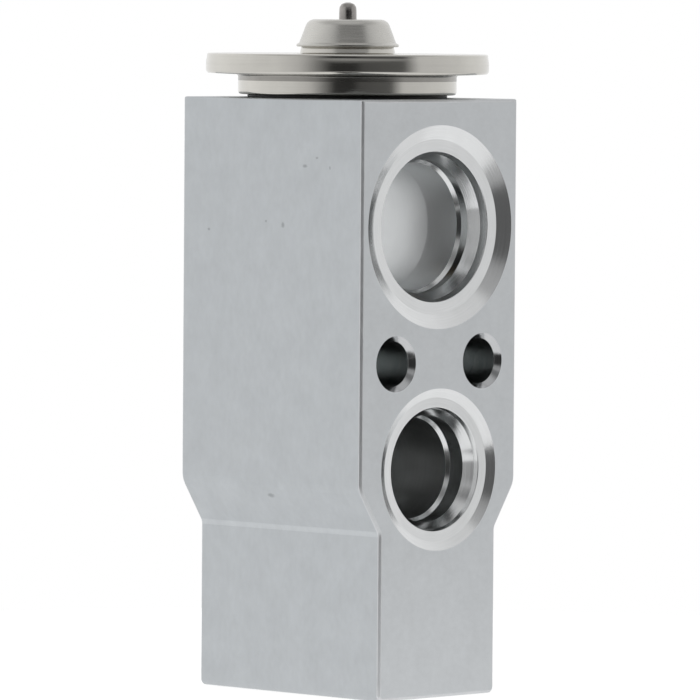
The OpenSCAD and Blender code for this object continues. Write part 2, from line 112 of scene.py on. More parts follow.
def addNode(tree, kind, x=0, y=0, **values):
    node = tree.nodes.new(kind)
    node.location = (x, y)
    for key, value in values.items():
        setattr(node, key, value)
    return node


def fill(tree, node, values):
    # In the order of the node's inputs, sockets are linked and values set
    for socket, value in zip(node.inputs, values):
        if isinstance(value, bpy.types.NodeSocket):
            tree.links.new(value, socket)
        elif value is not None:
            socket.default_value = value


def mathNode(tree, operation, a, b=None, c=None, clamp=False, at=(0, 0)):
    node = addNode(tree, "ShaderNodeMath", at[0], at[1], operation=operation, use_clamp=clamp)
    fill(tree, node, (a, b, c))
    return node.outputs[0]


def vectorNode(tree, operation, a, b=None, scale=None, at=(0, 0)):
    node = addNode(tree, "ShaderNodeVectorMath", at[0], at[1], operation=operation)
    fill(tree, node, (a, b, None, scale))
    return node.outputs["Value" if operation in ("DOT_PRODUCT", "LENGTH") else "Vector"]


def noiseNode(tree, vector, scale, detail=None, rough=None, at=(0, 0)):
    node = addNode(tree, "ShaderNodeTexNoise", at[0], at[1])
    fill(tree, node, (vector, None, scale, detail, rough))
    return node.outputs[0]


def mixShaders(tree, share, first, second, at):
    node = addNode(tree, "ShaderNodeMixShader", at[0], at[1])
    fill(tree, node, (share, first, second))
    return node.outputs[0]


def azimuthFrom(tree, vector, centre, at):
    # Angle round Z, in radians, from the given azimuth in degrees
    x, y = math.cos(math.radians(centre)), math.sin(math.radians(centre))
    ahead = vectorNode(tree, "DOT_PRODUCT", vector, (x, y, 0), at=(at[0], at[1] + 200))
    aside = vectorNode(tree, "DOT_PRODUCT", vector, (-y, x, 0), at=at)
    return mathNode(tree, "ARCTAN2", aside, ahead)


def setRamp(node, stops):
    ramp = node.color_ramp
    while len(ramp.elements) > 1:
        ramp.elements.remove(ramp.elements[-1])
    ramp.elements[0].position = stops[0][0]
    for number, (place, light) in enumerate(stops):
        stop = ramp.elements.new(place) if number else ramp.elements[0]
        stop.color = (light, light, light, 1)


def meshFrom(work, name):
    mesh = bpy.data.meshes.new(name)
    work.to_mesh(mesh)
    work.free()
    return mesh


def buildWorld(room):
    world = bpy.data.worlds.new("studioRoom")
    scene.world = world
    world.use_nodes = True
    tree = world.node_tree
    tree.nodes.clear()
    link = tree.links.new
    way = addNode(tree, "ShaderNodeTexCoord", -1400, 0)
    parts = addNode(tree, "ShaderNodeSeparateXYZ", -1200, -200)
    link(way.outputs["Generated"], parts.inputs[0])
    around = azimuthFrom(tree, way.outputs["Generated"], room["darkCentre"], (-1200, 0))
    aroundShare = mathNode(tree, "MULTIPLY_ADD", around, 0.5 / math.pi, 0.5)
    height = mathNode(tree, "ARCSINE", parts.outputs["Z"])
    heightShare = mathNode(tree, "MULTIPLY_ADD", height, 1 / math.pi, 0.5)
    ramps = {}
    spans = (("round", 360, aroundShare), ("fade", 180, heightShare), ("front", 180, heightShare))
    for label, span, share in spans:
        ramps[label] = addNode(tree, "ShaderNodeValToRGB", -700, 300 * len(ramps))
        setRamp(ramps[label], [(angle / span + 0.5, light) for angle, light in room[label]])
        link(share, ramps[label].inputs[0])
    sides = mathNode(tree, "MULTIPLY", ramps["round"].outputs[0], ramps["fade"].outputs[0])
    lighter = mathNode(tree, "MAXIMUM", sides, ramps["front"].outputs[0])
    tone = addNode(tree, "ShaderNodeBackground", 0, 0)
    link(lighter, tone.inputs["Color"])
    white = addNode(tree, "ShaderNodeBackground", 0, -200)
    white.inputs["Color"].default_value = (1, 1, 1, 1)
    rays = addNode(tree, "ShaderNodeLightPath", 0, 300)
    mix = mixShaders(tree, rays.outputs["Is Camera Ray"], tone.outputs[0], white.outputs[0], (250, 0))
    out = addNode(tree, "ShaderNodeOutputWorld", 450, 0)
    link(mix, out.inputs["Surface"])


def buildTable(room):
    material = bpy.data.materials.new("whiteTable")
    material.use_nodes = True
    tree = material.node_tree
    link = tree.links.new
    shader = tree.nodes["Principled BSDF"]
    shader.inputs["Base Color"].default_value = room["tableColour"]
    shader.inputs["Roughness"].default_value = room["tableRough"]
    shader.inputs["Specular IOR Level"].default_value = room["tableShine"]
    shader.inputs["Emission Color"].default_value = (1, 1, 1, 1)
    shader.inputs["Emission Strength"].default_value = room["tableGlow"]
    place = addNode(tree, "ShaderNodeTexCoord", -1300, -400)
    around = azimuthFrom(tree, place.outputs["Object"], room["stripCentre"], (-1100, -500))
    reach = vectorNode(tree, "LENGTH", place.outputs["Object"], at=(-1100, -700))
    off = mathNode(tree, "ABSOLUTE", around)
    halves = [math.radians(angle) for angle in room["stripHalf"]]
    light = None
    for value, stops, ends in ((off, halves, (0, 1)), (reach, room["stripFrom"], (1, 0))):
        part = addNode(tree, "ShaderNodeMapRange", -500, -400, interpolation_type="SMOOTHSTEP")
        fill(tree, part, (value, *stops, *ends))
        light = part.outputs[0] if light is None else mathNode(tree, "MAXIMUM", light, part.outputs[0])
    mirrored = addNode(tree, "ShaderNodeEmission", 0, -400)
    swing = room["tableInMetal"] - room["stripInMetal"]
    tone = mathNode(tree, "MULTIPLY_ADD", light, swing, room["stripInMetal"])
    link(tone, mirrored.inputs["Strength"])
    rays = addNode(tree, "ShaderNodeLightPath", 0, 400)
    mix = mixShaders(tree, rays.outputs["Is Glossy Ray"], shader.outputs[0], mirrored.outputs[0], (500, 0))
    # From below the table is clear, so that the underside shows
    below = addNode(tree, "ShaderNodeNewGeometry", 500, 400)
    clear = addNode(tree, "ShaderNodeBsdfTransparent", 500, -300)
    oneWay = mixShaders(tree, below.outputs["Backfacing"], mix, clear.outputs[0], (800, 0))
    link(oneWay, tree.nodes["Material Output"].inputs["Surface"])
    work = bmesh.new()
    under = Matrix.Translation((0, 0, -room["tableDrop"]))
    bmesh.ops.create_circle(work, cap_ends=True, segments=96, radius=room["tableRadius"], matrix=under)
    mesh = meshFrom(work, "table")
    mesh.materials.append(material)
    table = bpy.data.objects.new("table", mesh)
    scene.collection.objects.link(table)


def addLamps(room):
    for name, place, size, watts in room["lamps"]:
        data = bpy.data.lights.new(name, "AREA")
        data.shape = "DISK"
        data.size = size
        data.energy = watts
        lamp = bpy.data.objects.new(name, data)
        lamp.location = place
        back = Vector(place) - Vector(room["lampAim"])
        lamp.rotation_euler = back.to_track_quat("Z", "Y").to_euler()
        lamp.visible_glossy = False     # bright metal mirrors the room alone
        scene.collection.objects.link(lamp)


buildWorld(studio)
buildTable(studio)
addLamps(studio)
print("camera, room, table and lamps are up")


def newGroup(name, inputs, outputs):
    group = bpy.data.node_groups.new(name, "ShaderNodeTree")
    for label, kind, value in inputs:
        socket = group.interface.new_socket(name=label, in_out="INPUT", socket_type=kind)
        if value is not None:
            socket.default_value = value
    for label, kind in outputs:
        group.interface.new_socket(name=label, in_out="OUTPUT", socket_type=kind)
    start = addNode(group, "NodeGroupInput", -900, 0)
    end = addNode(group, "NodeGroupOutput", 900, 0)
    return group, start, end


def buildGrain():
    # Fine grain of a satin metal skin, drawn out along one way, with cloudy patches
    group, start, end = newGroup(
        "satinGrain",
        [("Vector", "NodeSocketVector", None), ("Stretch", "NodeSocketVector", (1, 1, 1)),
         ("Size", "NodeSocketFloat", 1.0), ("Patch Size", "NodeSocketFloat", 6.0)],
        [("Tone", "NodeSocketFloat"), ("Patches", "NodeSocketFloat"), ("Height", "NodeSocketFloat")],
    )
    place = start.outputs["Vector"]
    drawn = vectorNode(group, "MULTIPLY", place, start.outputs["Stretch"], at=(-700, 100))
    sizeTurned = mathNode(group, "DIVIDE", 1, start.outputs["Size"])
    fine = noiseNode(group, drawn, sizeTurned, detail=4, rough=0.62, at=(-300, 200))
    patchTurned = mathNode(group, "DIVIDE", 1, start.outputs["Patch Size"])
    cloud = noiseNode(group, place, patchTurned, detail=3, at=(-300, -200))
    tone = mathNode(group, "MULTIPLY_ADD", fine, 2, -1)
    patches = mathNode(group, "MULTIPLY_ADD", cloud, 2, -1)
    fill(group, end, (tone, patches, fine))
    return group


def buildRings():
    # Fine rings that a turning tool leaves, read across the profile
    group, start, end = newGroup(
        "turningRings",
        [("Along", "NodeSocketFloat", 0.0), ("Round", "NodeSocketFloat", 0.0),
         ("Pitch", "NodeSocketFloat", 0.12)],
        [("Tone", "NodeSocketFloat"), ("Height", "NodeSocketFloat")],
    )
    step = mathNode(group, "DIVIDE", start.outputs["Along"], start.outputs["Pitch"])
    slow = mathNode(group, "MULTIPLY", start.outputs["Round"], 1.2)
    place = addNode(group, "ShaderNodeCombineXYZ", -400, 100)
    fill(group, place, (step, slow))
    rings = noiseNode(group, place.outputs[0], 1, detail=3, at=(-200, 100))
    tone = mathNode(group, "MULTIPLY_ADD", rings, 2, -1)
    fill(group, end, (tone, rings))
    return group


def buildPit():
    # One small dent or nick at a given place
    group, start, end = newGroup(
        "nick",
        [("Vector", "NodeSocketVector", None), ("Centre", "NodeSocketVector", (0, 0, 0)),
         ("Stretch", "NodeSocketVector", (1, 1, 1)), ("Radius", "NodeSocketFloat", 0.2)],
        [("Mask", "NodeSocketFloat")],
    )
    place = start.outputs["Vector"]
    offset = vectorNode(group, "SUBTRACT", place, start.outputs["Centre"], at=(-700, 0))
    squeezed = vectorNode(group, "MULTIPLY", offset, start.outputs["Stretch"], at=(-500, 0))
    length = vectorNode(group, "LENGTH", squeezed, at=(-300, 0))
    ragged = noiseNode(group, place, 5, at=(-300, -200))
    wobble = mathNode(group, "MULTIPLY_ADD", ragged, 0.8, 0.6)
    reach = mathNode(group, "MULTIPLY", wobble, start.outputs["Radius"])
    share = mathNode(group, "DIVIDE", length, reach)
    fade = addNode(group, "ShaderNodeMapRange", 300, 0, interpolation_type="SMOOTHSTEP")
    fill(group, fade, (share, 1.2, 0.4))
    fill(group, end, (fade.outputs[0],))
    return group


def buildEdge():
    # Where an edge is rubbed bright
    group, start, end = newGroup(
        "rubbedEdge",
        [("Vector", "NodeSocketVector", None), ("Reach", "NodeSocketFloat", 0.0003)],
        [("Mask", "NodeSocketFloat")],
    )
    rounded = addNode(group, "ShaderNodeBevel", -500, 0, samples=4)
    fill(group, rounded, (start.outputs["Reach"],))
    plain = addNode(group, "ShaderNodeNewGeometry", -500, -200)
    dot = vectorNode(group, "DOT_PRODUCT", rounded.outputs[0], plain.outputs["Normal"], at=(-300, 0))
    bent = mathNode(group, "SUBTRACT", 1, dot)
    broken = noiseNode(group, start.outputs["Vector"], 1.2, detail=3, at=(-300, -300))
    uneven = mathNode(group, "MULTIPLY_ADD", broken, 14, -2)
    mask = mathNode(group, "MULTIPLY", bent, uneven, clamp=True)
    fill(group, end, (mask,))
    return group


satinGrain = buildGrain()
turningRings = buildRings()
nick = buildPit()
rubbedEdge = buildEdge()


def useGroup(tree, group, at=(0, 0), **values):
    node = addNode(tree, "ShaderNodeGroup", at[0], at[1], node_tree=group)
    for key, value in values.items():
        label = {"patchSize": "Patch Size"}.get(key, key[0].upper() + key[1:])
        socket = node.inputs[label]
        if isinstance(value, bpy.types.NodeSocket):
            tree.links.new(value, socket)
        else:
            socket.default_value = value
    return node


def startMaterial(name):
    material = bpy.data.materials.new(name)
    material.use_nodes = True
    tree = material.node_tree
    shader = tree.nodes["Principled BSDF"]
    shader.location = (900, 0)
    tree.nodes["Material Output"].location = (1200, 0)
    place = addNode(tree, "ShaderNodeTexCoord", -1300, 0)
    inMm = vectorNode(tree, "SCALE", place.outputs["Object"], scale=1000, at=(-1100, 0))
    return material, tree, shader, inMm


def finishShader(tree, shader, look, colour, rough, height):
    bump = addNode(tree, "ShaderNodeBump", 650, -300)
    bump.inputs["Distance"].default_value = look["bump"]
    bump.inputs["Strength"].default_value = 1
    tree.links.new(height, bump.inputs["Height"])
    for label, socket in (("Base Color", colour), ("Roughness", rough), ("Normal", bump.outputs[0])):
        tree.links.new(socket, shader.inputs[label])
    shader.inputs["Metallic"].default_value = look["metallic"]


def skinFinish(name, look):
    # Satin metal skin: grain, patches, rubbed edges and a few nicks
    material, tree, shader, place = startMaterial(name)
    grain = useGroup(tree, satinGrain, (-700, 200), vector=place, stretch=look["stretch"],
                     size=look["grainSize"], patchSize=look["patchSize"])
    tone = mathNode(tree, "MULTIPLY_ADD", grain.outputs["Tone"], look["grainTone"], 1)
    tone = mathNode(tree, "MULTIPLY_ADD", grain.outputs["Patches"], look["patchTone"], tone)
    edge = useGroup(tree, rubbedEdge, (-700, -200), vector=place, reach=look["edgeReach"])
    tone = mathNode(tree, "MULTIPLY_ADD", edge.outputs["Mask"], look["edgeTone"], tone)
    height = grain.outputs["Height"]
    dents = None
    for spot in look.get("nicks", []):
        centre, radius, stretch = spot
        pit = useGroup(tree, nick, (-700, -500), vector=place, centre=centre, radius=radius,
                       stretch=stretch)
        mask = pit.outputs["Mask"]
        dents = mask if dents is None else mathNode(tree, "MAXIMUM", dents, mask)
    if dents is not None:
        tone = mathNode(tree, "MULTIPLY_ADD", dents, -look["nickTone"], tone)
        deep = mathNode(tree, "MULTIPLY", dents, -look["nickDepth"])
        height = mathNode(tree, "ADD", height, deep)
    colour = vectorNode(tree, "SCALE", look["colour"], scale=tone, at=(500, 200))
    rough = mathNode(tree, "MULTIPLY_ADD", grain.outputs["Tone"], look["roughChange"], look["rough"])
    rough = mathNode(tree, "MULTIPLY_ADD", edge.outputs["Mask"], -0.1, rough, clamp=True)
    finishShader(tree, shader, look, colour, rough, height)
    return material


mapScale = 100      # millimetres of profile in one unit of the map called turning
mapTurn = 6         # how far the rings' noise moves on in one turn


def turnedFinish(name, look):
    # Bright turned metal, marked by the tool along its own profile
    material, tree, shader, place = startMaterial(name)
    if look["byMap"]:
        lay = addNode(tree, "ShaderNodeUVMap", -1100, 300, uv_map="turning")
        split = addNode(tree, "ShaderNodeSeparateXYZ", -900, 300)
        tree.links.new(lay.outputs[0], split.inputs[0])
        along = mathNode(tree, "MULTIPLY", split.outputs["Y"], mapScale)
        around = mathNode(tree, "MULTIPLY", split.outputs["X"], mapTurn)
    else:
        split = addNode(tree, "ShaderNodeSeparateXYZ", -900, 300)
        tree.links.new(place, split.inputs[0])
        across = mathNode(tree, "MULTIPLY", split.outputs["X"], split.outputs["X"])
        deep = mathNode(tree, "MULTIPLY", split.outputs["Y"], split.outputs["Y"])
        radius = mathNode(tree, "SQRT", mathNode(tree, "ADD", across, deep))
        along = mathNode(tree, "ADD", radius, split.outputs["Z"])
        around = mathNode(tree, "ARCTAN2", split.outputs["Y"], split.outputs["X"])
    rings = useGroup(tree, turningRings, (-600, 300), along=along, round=around, pitch=look["pitch"])
    grain = useGroup(tree, satinGrain, (-700, -100), vector=place, stretch=(1, 1, 1),
                     size=look["grainSize"], patchSize=look["patchSize"])
    tone = mathNode(tree, "MULTIPLY_ADD", rings.outputs["Tone"], look["ringTone"], 1)
    tone = mathNode(tree, "MULTIPLY_ADD", grain.outputs["Patches"], look["patchTone"], tone)
    colour = vectorNode(tree, "SCALE", look["colour"], scale=tone, at=(500, 200))
    rough = mathNode(tree, "MULTIPLY_ADD", rings.outputs["Tone"], look["roughChange"], look["rough"],
                     clamp=True)
    height = mathNode(tree, "MULTIPLY_ADD", grain.outputs["Height"], look["grainHeight"],
                      rings.outputs["Height"])
    finishShader(tree, shader, look, colour, rough, height)
    return material


blockNicks = [
    # place, radius, stretch
    ((2.74, -14.2, 60.73), 0.3, (1, 1, 0.7)),
    ((-0.39, -14.2, 61.17), 0.2, (1, 1, 1)),
    ((-11.0, -14.2, 59.85), 0.2, (0.8, 1, 1)),
    ((6.7, -14.2, 68.39), 0.24, (0.5, 1, 1)),
    ((8.88, -14.2, 69.46), 0.16, (0.6, 1, 1)),
    ((11.26, -14.2, 68.23), 0.16, (1, 1, 0.6)),
    ((-0.05, -13.2, 25.76), 0.32, (0.45, 0.5, 1)),
    ((9.5, 14.2, 51.0), 0.24, (1, 1, 0.8)),
    ((-6.0, 14.2, 63.5), 0.2, (0.8, 1, 1)),
]
# What each finish changes from its base
skinBase = {
    "metallic": 1, "roughChange": 0.08, "stretch": (1, 1, 0.6), "grainSize": 0.8, "grainTone": 0.09,
    "patchSize": 3.6, "patchTone": 0.075, "edgeReach": 0.00022, "edgeTone": 0.12, "bump": 0.00001,
}
skinLooks = {
    "extrudedSkin": {
        "colour": (0.562, 0.587, 0.606), "rough": 0.44, "nicks": blockNicks, "nickTone": 0.28,
        "nickDepth": 2.0,
    },
    "milledFace": {
        "colour": (0.616, 0.637, 0.653), "rough": 0.38, "stretch": (1, 0.7, 0.9), "grainSize": 0.75,
        "grainTone": 0.08, "patchSize": 4.2, "patchTone": 0.06, "edgeReach": 0.0002, "bump": 0.000008,
    },
    # Painted highlight: a paler copy of the skin along the hollow bend over the foot
    "paintedBendHighlight": {"colour": (0.615, 0.64, 0.66), "rough": 0.42},
    "brokenEdge": {
        "colour": (0.7, 0.715, 0.73), "rough": 0.5, "roughChange": 0.06, "stretch": (1, 1, 0.3),
        "grainSize": 0.4, "grainTone": 0.1, "patchSize": 3.0, "patchTone": 0.1, "edgeReach": 0.00015,
        "edgeTone": 0.2, "bump": 0.000008,
    },
    "sealRubber": {
        "colour": (0.022, 0.022, 0.022), "metallic": 0.0, "rough": 0.5, "stretch": (1, 1, 1),
        "grainSize": 0.25, "grainTone": 0.25, "patchSize": 3.0, "patchTone": 0.2, "edgeReach": 0.0001,
        "edgeTone": 0.3,
    },
    "sleevePlastic": {
        "colour": (0.03, 0.03, 0.032), "metallic": 0.0, "rough": 0.42, "roughChange": 0.06,
        "stretch": (1, 1, 0.4), "grainSize": 0.5, "grainTone": 0.15, "patchSize": 3.0,
        "patchTone": 0.15, "edgeReach": 0.0001, "edgeTone": 0.2, "bump": 0.000008,
    },
}
turnedBase = {
    "byMap": True, "metallic": 1, "roughChange": 0.06, "pitch": 0.14, "ringTone": 0.08,
    "grainSize": 0.6, "patchSize": 3.0, "patchTone": 0.05, "grainHeight": 0.3, "bump": 0.000006,
}
turnedLooks = {
    "turnedPort": {"colour": (0.78, 0.79, 0.795), "rough": 0.15},
    "portBore": {
        "colour": (0.66, 0.68, 0.68), "rough": 0.22, "roughChange": 0.08, "pitch": 0.16,
        "ringTone": 0.1, "grainSize": 0.8, "patchSize": 4.0, "patchTone": 0.06, "grainHeight": 0.4,
        "bump": 0.000008,
    },
    # Painted light: a paler copy of the bore metal in the suction passage, rod well and chamber, standing in
    # for light that comes through the passage
    "paintedLitBore": {
        "colour": (0.85, 0.865, 0.87), "rough": 0.45, "roughChange": 0.05, "pitch": 0.3,
        "ringTone": 0.035, "grainSize": 0.8, "patchSize": 4.0, "patchTone": 0.06, "bump": 0.000003,
    },
    "deepBore": {
        "colour": (0.56, 0.57, 0.57), "rough": 0.32, "roughChange": 0.08, "pitch": 0.2,
        "ringTone": 0.12, "grainSize": 0.8, "patchTone": 0.1, "grainHeight": 0.4, "bump": 0.000008,
    },
    "holeEdge": {
        "colour": (0.6, 0.61, 0.62), "rough": 0.13, "roughChange": 0.05, "grainSize": 0.5,
        "patchSize": 2.0, "patchTone": 0.08,
    },
    "shellSteel": {
        "colour": (0.61, 0.595, 0.555), "rough": 0.14, "roughChange": 0.05, "pitch": 0.16,
        "ringTone": 0.06, "grainSize": 0.7, "patchTone": 0.07, "bump": 0.000005,
    },
    # Painted shade: a darker copy of the shell steel for the band just under the disc
    "shellUnderShade": {
        "colour": (0.33, 0.32, 0.3), "rough": 0.25, "roughChange": 0.08, "pitch": 0.2, "ringTone": 0.1,
        "patchSize": 2.0, "patchTone": 0.15, "grainHeight": 0.4, "bump": 0.000005,
    },
    "capSteel": {
        "colour": (0.6, 0.59, 0.56), "rough": 0.28, "roughChange": 0.07, "pitch": 0.16,
        "ringTone": 0.06, "grainSize": 0.5, "patchSize": 2.4, "patchTone": 0.08, "grainHeight": 0.5,
    },
    "darkTube": {
        "colour": (0.36, 0.345, 0.33), "rough": 0.18, "roughChange": 0.1, "pitch": 0.3,
        "ringTone": 0.12, "grainSize": 0.3, "patchSize": 1.0, "patchTone": 0.22, "grainHeight": 1.0,
        "bump": 0.00002,
    },
    "springSteel": {
        "byMap": False, "colour": (0.6, 0.6, 0.6), "rough": 0.25, "pitch": 0.2, "ringTone": 0.06,
        "grainSize": 0.4, "patchSize": 2.0, "patchTone": 0.08, "grainHeight": 0.5, "bump": 0.000005,
    },
    "rodMetal": {
        "byMap": False, "colour": (0.74, 0.74, 0.75), "rough": 0.24, "pitch": 0.15, "ringTone": 0.07,
        "grainSize": 0.5,
    },
    "brass": {
        "byMap": False, "colour": (0.72, 0.54, 0.27), "rough": 0.24, "roughChange": 0.08,
        "ringTone": 0.09, "grainSize": 0.5, "patchSize": 2.5, "patchTone": 0.1, "bump": 0.000008,
    },
}
finishes = {name: skinFinish(name, {**skinBase, **look}) for name, look in skinLooks.items()}
finishes.update({name: turnedFinish(name, {**turnedBase, **look}) for name, look in turnedLooks.items()})
slotFinish = {
    "block_metal": "extrudedSkin", "shell_steel": "shellSteel", "cap_steel": "capSteel",
    "dark_tube": "darkTube", "seal_rubber": "sealRubber", "spring_steel": "springSteel",
    "rod_metal": "rodMetal", "brass": "brass", "sleeve_plastic": "sleevePlastic",
}
print("finishes made:", len(finishes))


def unitOf(v):
    size = math.hypot(*v)
    return (v[0] / size, v[1] / size)


arcStep = 15        # most degrees of a rounded corner in one step
leastRound = 0.03


def roundCorners(points, closed=True):
    # Corners (x, y, radius) become short arcs
    out = []
    count = len(points)
    for i, point in enumerate(points):
        here = point[:2]
        radius = point[2] if len(point) > 2 else 0
        if not radius or (not closed and i in (0, count - 1)):
            out.append(here)
            continue
        before = points[i - 1][:2]
        after = points[(i + 1) % count][:2]
        toBefore = unitOf((before[0] - here[0], before[1] - here[1]))
        toAfter = unitOf((after[0] - here[0], after[1] - here[1]))
        cosine = max(-1, min(1, toBefore[0] * toAfter[0] + toBefore[1] * toAfter[1]))
        half = math.acos(cosine) / 2
        if half > math.radians(89.5):       # all but straight
            out.append(here)
            continue
        middle = unitOf((toBefore[0] + toAfter[0], toBefore[1] + toAfter[1]))
        reach = radius / math.sin(half)
        centre = (here[0] + middle[0] * reach, here[1] + middle[1] * reach)
        cut = radius / math.tan(half)
        first = (here[0] + toBefore[0] * cut - centre[0], here[1] + toBefore[1] * cut - centre[1])
        last = (here[0] + toAfter[0] * cut - centre[0], here[1] + toAfter[1] * cut - centre[1])
        sweep = math.pi - 2 * half
        steps = max(2, int(math.degrees(sweep) / arcStep + 0.999))
        for k in range(steps + 1):
            t = sweep * k / steps
            a = math.sin(sweep - t) / math.sin(sweep)
            b = math.sin(t) / math.sin(sweep)
            out.append((centre[0] + a * first[0] + b * last[0], centre[1] + a * first[1] + b * last[1]))
    return out


def profileLine(points):
    # Points (r, h, rounding, finish) become (r, h, finish) with their corners rounded
    corners = [(p[0], p[1], p[2] if len(p) > 2 else 0) for p in points]
    line = []
    count = len(points)
    for i, point in enumerate(points):
        finish = point[3] if len(point) > 3 else 0
        if i in (0, count - 1) or not corners[i][2]:
            line.append((point[0], point[1], finish))
            continue
        arc = roundCorners([corners[i - 1], corners[i], corners[i + 1]], closed=False)[1:-1]
        for place in arc:
            line.append((place[0], place[1], finish))
    return line


def turnedMesh(name, points, matrix, steps, closed=False):
    # A profile (r, h, rounding, finish of the stretch that follows) turned round its own axis
    line = profileLine(points)
    if closed:
        line.append(line[0])
    lengths = [0]
    for a, b in zip(line, line[1:]):
        lengths.append(lengths[-1] + math.hypot(b[0] - a[0], b[1] - a[1]))
    work = bmesh.new()
    lay = work.loops.layers.uv.new("turning")
    rings = []
    for k, (r, h, finish) in enumerate(line):
        if closed and k == len(line) - 1:
            rings.append(rings[0])
        elif r < 1e-6:
            rings.append([work.verts.new((0, 0, h * mm))] * steps)
        else:
            turns = [2 * math.pi * i / steps for i in range(steps)]
            rings.append([
                work.verts.new((r * mm * math.cos(t), r * mm * math.sin(t), h * mm)) for t in turns
            ])
    for k in range(len(line) - 1):
        a, b = rings[k], rings[k + 1]
        for i in range(steps):
            j = (i + 1) % steps
            corners = [(a[i], i, k), (a[j], i + 1, k), (b[j], i + 1, k + 1), (b[i], i, k + 1)]
            kept = []
            for corner in corners:
                if not any(corner[0] is other[0] for other in kept):
                    kept.append(corner)
            if len(kept) < 3:
                continue
            face = work.faces.new([corner[0] for corner in kept])
            face.material_index = line[k][2]
            face.smooth = True
            for loop, corner in zip(face.loops, kept):
                loop[lay].uv = (corner[1] / steps, lengths[corner[2]] / mapScale)
    if not closed:
        for ring in (rings[0], rings[-1]):
            if ring[0] is not ring[1]:
                face = work.faces.new(ring)
                face.smooth = True
    bmesh.ops.recalc_face_normals(work, faces=work.faces)
    bmesh.ops.transform(work, matrix=matrix, verts=work.verts)
    return meshFrom(work, name)


def newPiece(name, mesh, materials):
    piece = bpy.data.objects.new(name, mesh)
    scene.collection.objects.link(piece)
    for material in materials:
        mesh.materials.append(finishes[material])
    return piece


def applyModifiers(piece):
    depsgraph = bpy.context.evaluated_depsgraph_get()
    plain = bpy.data.meshes.new_from_object(piece.evaluated_get(depsgraph), depsgraph=depsgraph)
    piece.modifiers.clear()
    piece.data = plain
    return plain


def settle(piece, angle, flatFaces=True):
    # Sharp edges past the angle, and flat faces that look flat
    piece.data.set_sharp_from_angle(angle=math.radians(angle))
    if flatFaces:
        flat = piece.modifiers.new("flatFaces", "WEIGHTED_NORMAL")
        flat.keep_sharp = True
        flat.weight = 80
    applyModifiers(piece)


def alongX(side, height, across=0):
    # The turning axis points out of the +X or the -X face
    turn = Matrix.Rotation(math.radians(90 * side), 4, "Y")
    face = blockShape["ahead"] + side * blockShape["depth"] / 2
    return Matrix.Translation((face * mm, across * mm, height * mm)) @ turn


blockShape = {
    "depth": 33.2, "width": 28.4, "height": 77, "footWidth": 21.2, "footHeight": 21.5,
    "ahead": 0.55,            # how far its middle lies before the element's axis
    "taperHeight": 5.7, "taperBend": 3, "footBend": 1.3,
    "footEdge": 0.8, "topEdge": 0.25, "faceChamfer": 0.34, "chamferSoft": 0.08,
    "suctionHeight": 60.6, "outletHeight": 29.4, "inletHeight": 15.5,
    "boltHeight": 43.2, "boltSpacing": 15.8, "boltHole": 2.9, "boltChamfer": 0.7,
    "studHole": 2.95, "studChamfer": 0.35, "studDepth": 10,
    "sharpAngle": 20,         # degrees between faces past which an edge stays sharp
    "weld": 0.001,            # points this near to each other are joined after the cuts
}
blockFinishes = [
    "extrudedSkin", "milledFace", "turnedPort", "portBore", "brokenEdge", "paintedLitBore", "deepBore",
    "holeEdge", "paintedBendHighlight",
]
onBlock = {finish: number for number, finish in enumerate(blockFinishes)}
portShape = {
    "coneAngle": 27, "sealStep": 1.25, "sealLead": 0.25, "pilotStep": 0.45,
    "pilotDepth": 4.7, "boreDepth": 5.15, "ringStep": 0.1, "soft": 0.12,
    "tip": 0.2,               # depth of a bore's end for its radius
}
ports = {
    # seat: depth of the seal ring's leaning seat at its outer and its inner edge
    "suction": {"bore": 8.2, "ring": 1.55, "lead": 1.85, "seat": (2.1, 3.6), "inside": "paintedLitBore"},
    "outlet": {"bore": 6.5, "ring": 1.3, "lead": 1.15, "seat": (1.25, 2.5), "inside": "deepBore"},
    "inlet": {"bore": 4.95, "ring": 1.2, "lead": 1.0, "seat": (1.25, 2.5), "inside": "deepBore"},
}
outletPast = 3      # how far the outlet runs past the block's middle
axisCuts = [
    # cut, its corners as radius and height, steps round, finish
    ("elementNeck", [(0, 70), (11, 70), (11, 76.6), (11.4, 77), (12.4, 78), (0, 78)], 128, "portBore"),
    ("rodWell", [(0, 52.1), (6.5, 52.1), (6.5, 69.4), (10.3, 69.4), (10.3, 71), (0, 71)], 128, "paintedLitBore"),
    # it lies along the suction passage, level with it, its heights measured from the front face
    ("suctionChamber", [(0, -23.9), (8.6, -23.9), (9.2, -23.3), (9.2, -11), (8.6, -10.4), (0, -10.4)], 144,
     "paintedLitBore"),
    ("rodBore", [(0, 39), (2.86, 39), (2.86, 47.5), (4.4, 47.5), (4.4, 52.7), (0, 52.7)], 64, "portBore"),
    ("orifice", [(0, 29.4), (1.16, 29.4), (1.16, 39.5), (0, 39.5)], 32, "portBore"),
    ("springChamber", [(0, 5), (5.4, 5), (5.4, 20.4), (1.8, 20.4), (1.8, 29.4), (0, 29.4)], 96, "portBore"),
    ("screwMouth", [(0, -1), (7.8, -1), (6.3, 0.5), (6.3, 5.7), (0, 5.7)], 96, "portBore"),
]
over = 1.0          # cutting tools run past the faces they open
holeSoft = 0.1
drillTip = 0.55     # depth of a drilled hole's tip for its radius


def drawnIn(corners, by):
    # The outline moved inwards, with the radius of each corner to match
    out = []
    count = len(corners)
    for i, (y, z, radius) in enumerate(corners):
        before, after = corners[i - 1], corners[(i + 1) % count]
        a = unitOf((y - before[0], z - before[1]))
        b = unitOf((after[0] - y, after[1] - z))
        share = by / (1 + a[0] * b[0] + a[1] * b[1])
        outwards = a[0] * b[1] - a[1] * b[0] > 0
        radius = max(radius - by, leastRound) if outwards else radius + by
        out.append((y - share * (a[1] + b[1]), z + share * (a[0] + b[0]), radius))
    return out


